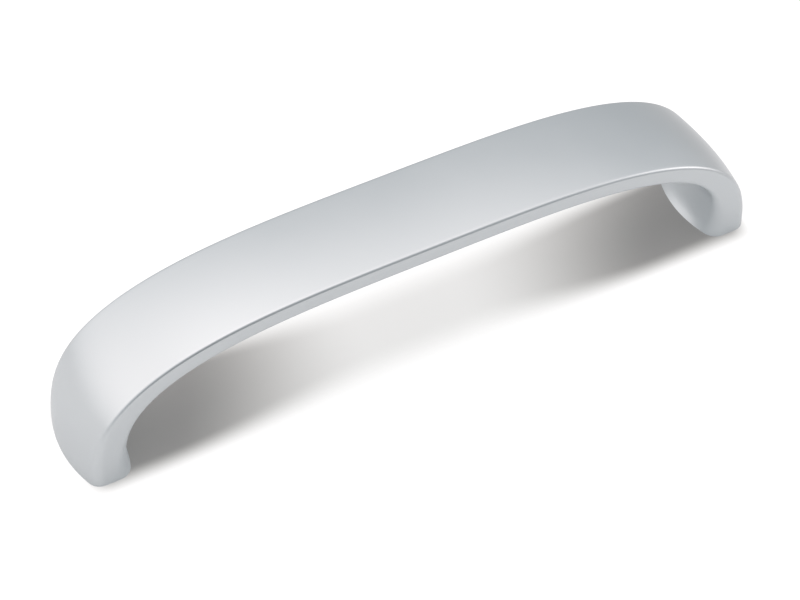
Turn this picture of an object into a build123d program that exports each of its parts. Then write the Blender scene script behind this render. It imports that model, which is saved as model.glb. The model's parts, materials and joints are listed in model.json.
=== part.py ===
"""Cast bow handle for a cabinet door or drawer: one crowned ribbon that turns down into two screw feet.

Frame: X runs along the handle, Y across it and +Z away from the door. The origin lies on the door
face, midway between the two screw holes.
"""

import os
from math import atan2, cos, radians, sin, tan

from build123d import *

# Driving dimensions, in millimetres and degrees
hole_spacing = 128.0        # centre to centre of the two screw holes
overall_length = 138.6      # outer end to outer end
projection = 28.75          # door face to the crown of the bow at mid-length
ribbon_width = 20.2         # across the handle, edge to edge
ribbon_depth = 4.2          # crown to underside at mid-length
foot_depth = 10.8           # outer end to inner toe of a foot, along X at the door face
bow_fullness = 3.48         # exponent of the bow along X: 2 is an ellipse, more is straighter
shoulder_fullness = 2.61    # exponent of the bow along Z: 2 is an ellipse, more is squarer
ribbon_crown = 0.5          # rise of the outer face across the width, at mid-length
foot_crown = 2.05           # the same at the door face
ribbon_belly = 0.1          # rise of the inner face across the width, at mid-length
foot_belly = 2.15           # the same at the door face, where it is the toe of the foot
ribbon_corner = 0.6         # outer edge radius at mid-length
foot_corner = 2.6           # the same at the door face
ribbon_inner_corner = 0.8   # inner edge radius at mid-length
foot_inner_corner = 3.0     # the same at the door face
toe_hollow = 11.0           # how fast the toe gives way to the hollowed inner wall above it
edge_swell = 1.6            # how early along the bow its edges deepen towards the feet
thread_core = 3.3           # tapping drill for an M4 screw
thread_depth = 10.0         # full-diameter depth of the tapped hole
mouth_break = 0.5           # countersink at the mouth of the hole
drill_point = 118.0         # included angle of the drilled bottom

# The outer edge line of the bow is a superellipse with these half axes
edge_reach = overall_length / 2 - foot_crown
edge_height = projection - ribbon_crown

# Depth of the bow's edges, between the rises of the outer and inner faces
ribbon_edge = ribbon_depth - ribbon_crown - ribbon_belly
foot_edge = foot_depth - foot_crown - foot_belly

# Places of the sections between mid-length and a foot, as angles along that superellipse
bow_angles = (7, 16, 27, 38, 49, 60, 69, 76, 82, 86, 88.5, 90)


def bow_point(angle):
    """Outer edge line at an angle: its X, its Z and the lean of its outward normal from +Z."""
    s, c = sin(radians(angle)), max(cos(radians(angle)), 0)
    along, up = 2 / bow_fullness, 2 / shoulder_fullness
    lean = atan2(edge_height * up * s ** (2 - along), edge_reach * along * c ** (2 - up))
    return edge_reach * s**along, edge_height * c**up, lean


def section(angle, side):
    """Closed section across the bow, with local Y out of the bow and local Y = 0 on the outer edge line."""
    x, z, lean = bow_point(angle)
    drop = 1 - z / edge_height
    turn = sin(radians(90) * drop**2)

    def eased(ribbon, foot):
        """Size between its ribbon and foot values, which it leaves and reaches smoothly."""
        return ribbon + (foot - ribbon) * turn**2

    crown = eased(ribbon_crown, foot_crown)
    belly = ribbon_belly + (foot_belly - ribbon_belly) * drop**toe_hollow
    edge = foot_edge - (foot_edge - ribbon_edge) * (1 - turn) ** edge_swell
    half = ribbon_width / 2
    plane = Plane(origin=(side * x, 0, z), x_dir=(0, 1, 0), z_dir=(cos(lean), 0, -side * sin(lean)))
    with BuildSketch(plane) as outline:
        with BuildLine():
            ThreePointArc((-half, 0), (0, crown), (half, 0))
            Line((half, 0), (half, -edge))
            ThreePointArc((half, -edge), (0, -edge - belly), (-half, -edge))
            Line((-half, -edge), (-half, 0))
        make_face()
        fillet(outline.vertices().group_by(Axis.Y)[-1], eased(ribbon_corner, foot_corner))
        fillet(outline.vertices().group_by(Axis.Y)[0], eased(ribbon_inner_corner, foot_inner_corner))
    return outline.sketch


with BuildPart() as tapped_hole:
    with BuildSketch(Plane.XZ):
        with BuildLine():
            core = thread_core / 2
            mouth = core + mouth_break
            tip = thread_depth + core / tan(radians(drill_point / 2))
            Polyline((0, 0), (mouth, 0), (core, mouth_break), (core, thread_depth), (0, tip), close=True)
        make_face()
    revolve(axis=Axis.Z)

with BuildPart() as handle:
    # Sections up the left foot, over the bow and down the right foot
    left = [section(angle, -1) for angle in reversed(bow_angles)]
    right = [section(angle, 1) for angle in bow_angles]
    loft([*left, section(0, 1), *right])
    with GridLocations(hole_spacing, 0, 2, 1):
        add(tapped_hole.part, mode=Mode.SUBTRACT)

handle.part.label = "handle"
os.makedirs("parts", exist_ok=True)
export_step(handle.part, "parts/handle.step")
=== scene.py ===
"""Looks of the cast bow handle: one smooth skin over the casting, in satin chrome, on a white table."""

import json
from math import cos, pi, radians, sin

import bpy
import numpy as np
from mathutils import Matrix, Vector


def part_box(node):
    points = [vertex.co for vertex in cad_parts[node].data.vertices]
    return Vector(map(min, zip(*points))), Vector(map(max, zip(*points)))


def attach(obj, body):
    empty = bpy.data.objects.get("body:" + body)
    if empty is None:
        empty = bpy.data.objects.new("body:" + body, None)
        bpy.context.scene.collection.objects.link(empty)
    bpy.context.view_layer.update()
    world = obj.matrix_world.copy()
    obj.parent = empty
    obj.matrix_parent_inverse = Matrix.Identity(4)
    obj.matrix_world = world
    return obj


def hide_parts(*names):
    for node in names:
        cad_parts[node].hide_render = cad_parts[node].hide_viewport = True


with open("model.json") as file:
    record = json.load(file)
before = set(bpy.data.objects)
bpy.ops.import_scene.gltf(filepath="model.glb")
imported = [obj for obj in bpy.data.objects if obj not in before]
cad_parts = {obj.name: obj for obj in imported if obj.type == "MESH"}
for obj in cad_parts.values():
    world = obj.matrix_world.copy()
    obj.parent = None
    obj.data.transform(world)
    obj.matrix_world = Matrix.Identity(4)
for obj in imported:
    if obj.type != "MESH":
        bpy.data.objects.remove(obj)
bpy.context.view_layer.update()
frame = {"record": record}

MM = 0.001

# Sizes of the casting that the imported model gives, in metres
half_length, half_width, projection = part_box("handle")[1]
screws = next(m for m in frame["record"]["mounts"] if m["name"] == "screw_holes")["dims"]
hole_reach = screws["spacing_x_mm"] / 2 * MM
core_radius = screws["hole_r_mm"] * MM

# Sizes of its form, in metres, each at mid-length and at the door face
ribbon_depth, foot_depth = 4.2 * MM, 10.8 * MM
ribbon_crown, foot_crown = 0.5 * MM, 2.05 * MM
ribbon_belly, foot_belly = 0.1 * MM, 2.15 * MM
ribbon_edge = ribbon_depth - ribbon_crown - ribbon_belly
foot_edge = foot_depth - foot_crown - foot_belly
ribbon_corner, foot_corner = 0.6 * MM, 2.6 * MM
ribbon_inner_corner, foot_inner_corner = 0.8 * MM, 3.0 * MM

# How fast a foot's toe gives way to the hollowed wall above it, and how early the edges deepen
toe_hollow, edge_swell = 11.0, 1.6

# Exponents of the bow's superellipse, and the half axes of its outer edge line
bow_fullness, shoulder_fullness = 3.48, 2.61
edge_reach = half_length - foot_crown
edge_height = projection - ribbon_crown

# The M4 thread in each foot
thread_pitch = 0.7 * MM
thread_groove = 0.35 * MM
thread_depth = 10.0 * MM
thread_run_out = 1.2 * MM
mouth_break = 0.5 * MM
drill_half_angle = radians(59)

# Fineness of the skin, and the angle from which an edge is shaded sharp
bow_rings = 460
rings_per_turn = 8
sole_rings = 5
crown_steps, corner_steps, side_steps, inner_steps, belly_steps = 22, 8, 5, 8, 20
sharp_angle = radians(40)

# The plating: its two tones, its roughness, and the noise of its slow changes and of its fine grain
dark_tone, light_tone = (0.535, 0.572, 0.594, 1), (0.565, 0.600, 0.620, 1)
least_roughness, roughness_change = 0.33, 0.08
tone_scale, tone_detail, tone_fall = 55.0, 3.0, 0.5
grain_scale, grain_detail, grain_fall = 5200.0, 2.0, 0.6
grain_strength, grain_height = 0.12, 0.04 * MM

# The table: a painted pool of light, lit colour near a point by the left foot, painted shade farther off,
# and where one turns into the other; its white, and the shares of that white the camera and the metal see
table_half_size = 3.0
lit_table_colour, painted_shade_colour = (0.9, 0.9, 0.9, 1), (0.5, 0.5, 0.5, 1)
painted_light_middle = (-60 * MM, -30 * MM, 0)
painted_light_reach, painted_shade_reach = 138 * MM, 205 * MM
table_white = 1.16
table_glow = 0.75
mirror_glow = 0.15

# The shadow band on it, under the middle of the bow and at the feet: its depth, its core's half width and
# where along X they hold. Then its outer edge, how it lies off the middle plane, and its slant
white, shadow_colour = (1, 1, 1, 1), (1, 0.985, 0.95, 1)
bow_shadow, foot_shadow = 0.26, 0.865
bow_shadow_core, foot_shadow_core = 3.5 * MM, 7.7 * MM
bow_shadow_end, foot_shadow_end = 9 * MM, 51.2 * MM
shadow_edge = 12.8 * MM
shadow_shift, shadow_turn = 0.6 * MM, 0.005
shadow_slant, shadow_pivot = 0.0125 / MM, 6 * MM

# The sky, with its windows as azimuth from +Y, elevation, amount and sharpness
sky_base = 0.62
shade_colour, window_colour = (0.978, 1.0, 1.022, 1), (1.058, 0.985, 0.962, 1)
sky_windows = (
    (23, 76, 1.18, 8.1),
    (-65, 31, 1.03, 3.7),
    (100, 24, 2.0, 14.0),
    (35, 44, -0.15, 45.0),
    (182, 26, -0.42, 9.0),
)

# The camera: the angles from its aim point back to it, its distance, and its focal length in image pixels
camera_azimuth, camera_elevation = radians(-28.14), radians(47.99)
camera_aim = Vector((-1.54, 0, 5.3)) * MM
camera_distance = 508.5 * MM
focal_pixels, image_width = 2768, 800
sensor_width = 36
nearest_seen = 10 * MM


def bow_line(share):
    """Outer edge line at shares from -1, the left foot, to 1, the right foot: |x/a|^m + (z/b)^n = 1.

    The lean is the angle from +Z of the line's outward normal. The share is warped so that rings lie evenly.
    """
    angle = pi / 2 * np.abs(share) ** (bow_fullness / 2)
    s, c = np.sin(angle), np.maximum(np.cos(angle), 0)
    along, up = 2 / bow_fullness, 2 / shoulder_fullness
    lean = np.arctan2(edge_height * up * s ** (2 - along), edge_reach * along * c ** (2 - up))
    return edge_reach * s**along, edge_height * c**up, lean


def eased(ribbon, foot, turn):
    """Size that goes from its ribbon value to its foot value with the square of the turn."""
    return ribbon + (foot - ribbon) * turn**2


def half_section(drop):
    """Right half of each section, from the middle of the crown to the middle of the belly.

    Five stretches meet smoothly: crown arc, outer corner arc, straight side, inner corner arc and belly arc.
    Sizes follow the drop from the top of the bow and the turn, a quarter sine of the squared drop.
    Returns the distances from the middle plane and from the outer edge line, one row for each ring.
    """
    turn = np.sin(pi / 2 * drop**2)
    crown = eased(ribbon_crown, foot_crown, turn)
    belly = ribbon_belly + (foot_belly - ribbon_belly) * drop**toe_hollow
    edge = foot_edge - (foot_edge - ribbon_edge) * (1 - turn) ** edge_swell
    corner = eased(ribbon_corner, foot_corner, turn)
    inner = eased(ribbon_inner_corner, foot_inner_corner, turn)
    crown_radius = (half_width**2 + crown**2) / (2 * crown)
    belly_radius = (half_width**2 + belly**2) / (2 * belly)
    crown_centre = crown - crown_radius
    belly_centre = belly_radius - edge - belly
    corner_up = crown_centre + np.sqrt((crown_radius - corner) ** 2 - (half_width - corner) ** 2)
    inner_up = belly_centre - np.sqrt((belly_radius - inner) ** 2 - (half_width - inner) ** 2)
    crown_end = np.arctan2(half_width - corner, corner_up - crown_centre)
    belly_end = np.arctan2(half_width - inner, belly_centre - inner_up)

    def steps(count, last=False):
        """Row of even shares from 0 to 1."""
        return np.linspace(0, 1, count, endpoint=last)[None, :]

    over_crown = crown_end * steps(crown_steps)
    round_corner = crown_end + (pi / 2 - crown_end) * steps(corner_steps)
    down_side = steps(side_steps)
    round_inner = pi / 2 + (pi / 2 - belly_end) * steps(inner_steps)
    over_belly = belly_end * (1 - steps(belly_steps, last=True))
    out = [
        crown_radius * np.sin(over_crown),
        half_width - corner + corner * np.sin(round_corner),
        np.full((len(drop), side_steps), half_width),
        half_width - inner + inner * np.sin(round_inner),
        belly_radius * np.sin(over_belly),
    ]
    up = [
        crown_centre + crown_radius * np.cos(over_crown),
        corner_up + corner * np.cos(round_corner),
        corner_up + (inner_up - corner_up) * down_side,
        inner_up + inner * np.cos(round_inner),
        belly_centre - belly_radius * np.cos(over_belly),
    ]
    return np.concatenate(out, axis=1), np.concatenate(up, axis=1)


def bow_skin():
    """Rings of the bow from the left foot to the right.

    Each is a section, mirrored into a whole, stood across the outer edge line and leaning with it.
    """
    share = np.linspace(-1, 1, bow_rings)[:, None]
    x, z, lean = bow_line(share)
    out, up = half_section(1 - z / edge_height)
    out = np.concatenate([out, -out[:, -2:0:-1]], axis=1)
    up = np.concatenate([up, up[:, -2:0:-1]], axis=1)
    side = np.where(share < 0, -1, 1)
    return np.stack([side * (x + np.sin(lean) * up), out, z + np.cos(lean) * up], axis=2)


def screw_hole(outline, centre):
    """Rings from a foot's outline in to the tip of its hole: sole, countersunk mouth, thread, drill point.

    The thread is a groove whose depth is a triangle wave of height over pitch less the turn about the hole.
    """
    turn = np.arctan2(outline[:, 1], outline[:, 0] - centre)
    mouth = core_radius + mouth_break
    rim = np.stack([centre + mouth * np.cos(turn), mouth * np.sin(turn), np.zeros_like(turn)], axis=1)
    share = np.linspace(0, 1, sole_rings, endpoint=False)[1:, None, None]
    sole = outline + (rim - outline) * share

    count = int((thread_depth - mouth_break) / thread_pitch * rings_per_turn)
    height = np.linspace(mouth_break, thread_depth, count)[:, None]
    wave = 1 - np.abs(2 * np.mod(height / thread_pitch - turn / (2 * pi), 1) - 1)
    fade = np.clip((thread_depth - height) / thread_run_out, 0, 1)
    radius = core_radius + thread_groove * wave * fade
    height = np.broadcast_to(height, radius.shape)
    bore = np.stack([centre + radius * np.cos(turn), radius * np.sin(turn), height], axis=2)
    tip = np.array([centre, 0, thread_depth + core_radius / np.tan(drill_half_angle)])
    return np.concatenate([sole, rim[None], bore]), tip


def grid_mesh(name, rings, first_tip, last_tip):
    """Closed mesh of rings joined by quads, with a fan of triangles to a tip at each end."""
    count, around = rings.shape[:2]
    points = np.concatenate([rings.reshape(-1, 3), first_tip[None], last_tip[None]])
    here = np.arange(around)
    following = np.roll(here, -1)
    row = (np.arange(count - 1) * around)[:, None]
    beyond = row + around
    quads = np.stack([row + here, beyond + here, beyond + following, row + following], axis=2)
    last = (count - 1) * around
    fans = [
        np.stack([here, following, np.full(around, count * around)], axis=1),
        np.stack([last + following, last + here, np.full(around, count * around + 1)], axis=1),
    ]
    loops = np.concatenate([quads.reshape(-1), *[fan.reshape(-1) for fan in fans]]).astype(np.int32)
    sizes = np.concatenate([np.full(quads.size // 4, 4), np.full(2 * around, 3)])
    mesh = bpy.data.meshes.new(name)
    mesh.vertices.add(len(points))
    mesh.vertices.foreach_set("co", points.astype(np.float32).reshape(-1))
    mesh.loops.add(len(loops))
    mesh.loops.foreach_set("vertex_index", loops)
    mesh.polygons.add(len(sizes))
    mesh.polygons.foreach_set("loop_start", (np.cumsum(sizes) - sizes).astype(np.int32))
    mesh.update(calc_edges=True)
    mesh.validate()
    mesh.shade_smooth()
    return mesh


def casting():
    """The whole casting as one grid: out of the left hole, over the bow and into the right hole."""
    skin = bow_skin()
    left, left_tip = screw_hole(skin[0], -hole_reach)
    right, right_tip = screw_hole(skin[-1], hole_reach)
    mesh = grid_mesh("casting", np.concatenate([left[::-1], skin, right]), left_tip, right_tip)
    mesh.set_sharp_from_angle(angle=sharp_angle)
    piece = bpy.data.objects.new("casting", mesh)
    bpy.context.collection.objects.link(piece)
    return piece


class Socket:
    """One output of a shader node; arithmetic on it adds Math nodes."""

    def __init__(self, tree, socket):
        self.tree = tree
        self.socket = socket

    def node(self, kind, settings=None, output=0, **inputs):
        """Adds a node and returns one of its outputs.

        The settings are set first. Then each input, by name or as i and its index, gets a value or a link.
        """
        made = self.tree.nodes.new(kind)
        for key, value in (settings or {}).items():
            setattr(made, key, value)
        for key, value in inputs.items():
            target = made.inputs[int(key[1:]) if key[1:].isdigit() else key.replace("_", " ")]
            if isinstance(value, Socket):
                self.tree.links.new(value.socket, target)
            else:
                target.default_value = value
        return Socket(self.tree, made.outputs[output]) if made.outputs else None

    def math(self, operation, first, second):
        return self.node("ShaderNodeMath", {"operation": operation}, i0=first, i1=second)

    def __add__(self, other):
        return self.math("ADD", self, other)

    def __radd__(self, other):
        return self.math("ADD", other, self)

    def __sub__(self, other):
        return self.math("SUBTRACT", self, other)

    def __rsub__(self, other):
        return self.math("SUBTRACT", other, self)

    def __mul__(self, other):
        return self.math("MULTIPLY", self, other)

    def __rmul__(self, other):
        return self.math("MULTIPLY", other, self)

    def __abs__(self):
        return self.node("ShaderNodeMath", {"operation": "ABSOLUTE"}, i0=self)


def new_tree(material):
    """Empties a material's or world's tree, and returns a starting socket for its nodes."""
    material.use_nodes = True
    material.node_tree.nodes.clear()
    return Socket(material.node_tree, None)


def smooth_step(value, start, end):
    """Smooth step of a value, from 0 at the start to 1 at the end."""
    settings = {"interpolation_type": "SMOOTHSTEP"}
    return value.node("ShaderNodeMapRange", settings, Value=value, From_Min=start, From_Max=end)


def mix_colours(share, first, second):
    """Colour that goes from the first to the second with the share."""
    return share.node("ShaderNodeMix", {"data_type": "RGBA"}, output=2, i0=share, i6=first, i7=second)


def satin_chrome():
    """Chrome over a blasted casting: a fine even grain, and slow changes of tone and gloss."""
    material = bpy.data.materials.new("satin_chrome")
    start = new_tree(material)
    place = start.node("ShaderNodeTexCoord", output="Object")
    tone = start.node(
        "ShaderNodeTexNoise", Vector=place, Scale=tone_scale, Detail=tone_detail, Roughness=tone_fall
    )
    grain = start.node(
        "ShaderNodeTexNoise", Vector=place, Scale=grain_scale, Detail=grain_detail, Roughness=grain_fall
    )
    bump = start.node("ShaderNodeBump", Height=grain, Strength=grain_strength, Distance=grain_height)
    shader = start.node(
        "ShaderNodeBsdfPrincipled",
        Base_Color=mix_colours(tone, dark_tone, light_tone),
        Metallic=1.0,
        Roughness=least_roughness + roughness_change * tone,
        Normal=bump,
    )
    start.node("ShaderNodeOutputMaterial", Surface=shader)
    return material


def white_ground():
    """White table with the handle's soft shadow, part of it real and part of it a band under the ribbon.

    The painted shadow band's depth and core rise with a smooth step of the distance from mid-length, along
    lines that slant more towards the feet. Across it the shade is a smooth step of the distance from the
    band's middle line, which lies a little off the middle plane and turned from it. The band's shade is
    warm, and metal doesn't mirror it. The table's paint is a painted pool of light: it darkens into painted
    shade with a smooth step of the distance from a point near the left foot. Rays from metal and glass see a
    share of the white too.
    """
    material = bpy.data.materials.new("white_ground")
    start = new_tree(material)
    direct = start.node("ShaderNodeLightPath", output="Is Camera Ray")
    mirrored = start.node("ShaderNodeLightPath", output="Is Glossy Ray")
    through = start.node("ShaderNodeLightPath", output="Is Transmission Ray")
    place = start.node("ShaderNodeTexCoord", output="Object")
    along = start.node("ShaderNodeSeparateXYZ", output="X", Vector=place)
    across = start.node("ShaderNodeSeparateXYZ", output="Y", Vector=place)

    reach = abs(along)
    slanted = reach - shadow_slant * (along * (across + shadow_pivot))
    near_foot = smooth_step(slanted, bow_shadow_end, foot_shadow_end)
    inside = smooth_step(reach, half_length, hole_reach)
    core = bow_shadow_core + (foot_shadow_core - bow_shadow_core) * near_foot
    band = smooth_step(abs(across + (shadow_shift + shadow_turn * along)), shadow_edge, core)
    depth = bow_shadow + (foot_shadow - bow_shadow) * near_foot
    shadow = direct * (depth * (band * inside))
    tint = mix_colours(shadow, white, shadow_colour)
    shade = start.node("ShaderNodeVectorMath", {"operation": "SCALE"}, i0=tint, Scale=1 - shadow)
    glow = start.node("ShaderNodeEmission", Color=shade, Strength=table_white)

    # Painted pool of light: the paint turns to a darker painted shade away from a point near the left foot
    distance = {"operation": "DISTANCE"}
    from_painted_light = start.node("ShaderNodeVectorMath", distance, output="Value", i0=place, i1=painted_light_middle)
    painted_shade_share = smooth_step(from_painted_light, painted_light_reach, painted_shade_reach)
    lit_paint = start.node("ShaderNodeBsdfDiffuse", Color=lit_table_colour)
    painted_shade_paint = start.node("ShaderNodeBsdfDiffuse", Color=painted_shade_colour)
    painted_light_pool = start.node("ShaderNodeMixShader", i0=painted_shade_share, i1=lit_paint, i2=painted_shade_paint)
    lift = table_glow * direct + mirror_glow * (mirrored + through)
    shader = start.node("ShaderNodeMixShader", i0=lift, i1=painted_light_pool, i2=glow)
    start.node("ShaderNodeOutputMaterial", Surface=shader)

    s = table_half_size
    mesh = bpy.data.meshes.new("ground")
    mesh.from_pydata([(-s, -s, 0), (s, -s, 0), (s, s, 0), (-s, s, 0)], [], [(0, 1, 2, 3)])
    mesh.materials.append(material)
    ground = bpy.data.objects.new("ground", mesh)
    bpy.context.collection.objects.link(ground)


def studio_sky():
    """Pale surroundings with broad windows, two of them darker than the rest.

    Strength is a base plus, for each window, amount * exp(sharpness * (cosine of the angle to it - 1)).
    The colour goes from the shade's to the windows' as the strength rises above the base.
    """
    world = bpy.data.worlds.new("studio")
    bpy.context.scene.world = world
    start = new_tree(world)
    place = start.node("ShaderNodeTexCoord", output="Generated")
    unit = start.node("ShaderNodeVectorMath", {"operation": "NORMALIZE"}, i0=place)
    strength = sky_base
    for azimuth, elevation, amount, sharpness in sky_windows:
        a, e = radians(azimuth), radians(elevation)
        toward = (sin(a) * cos(e), cos(a) * cos(e), sin(e))
        product = {"operation": "DOT_PRODUCT"}
        cosine = start.node("ShaderNodeVectorMath", product, output="Value", i0=unit, i1=toward)
        fall = sharpness * (cosine - 1)
        strength = strength + amount * start.node("ShaderNodeMath", {"operation": "EXPONENT"}, i0=fall)
    colour = mix_colours(strength - sky_base, shade_colour, window_colour)
    shader = start.node("ShaderNodeBackground", Color=colour, Strength=strength)
    start.node("ShaderNodeOutputWorld", Surface=shader)


def photo_camera():
    """Camera at the photograph's angle: back along the view from the aim point, at its distance."""
    a, e = camera_azimuth, camera_elevation
    back = Vector((sin(a) * cos(e), -cos(a) * cos(e), sin(e)))
    right = Vector((cos(a), sin(a), 0))
    turn = Matrix((right, back.cross(right), back)).transposed().to_4x4()
    camera = bpy.data.cameras.new("camera")
    camera.sensor_width = sensor_width
    camera.lens = sensor_width * focal_pixels / image_width
    camera.clip_start = nearest_seen
    stand = bpy.data.objects.new("camera", camera)
    stand.matrix_world = Matrix.Translation(camera_aim + back * camera_distance) @ turn
    bpy.context.collection.objects.link(stand)
    bpy.context.scene.camera = stand


piece = casting()
piece.data.materials.append(satin_chrome())
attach(piece, "root")
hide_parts("handle")

white_ground()
studio_sky()
photo_camera()
bpy.context.scene.view_settings.view_transform = "Standard"
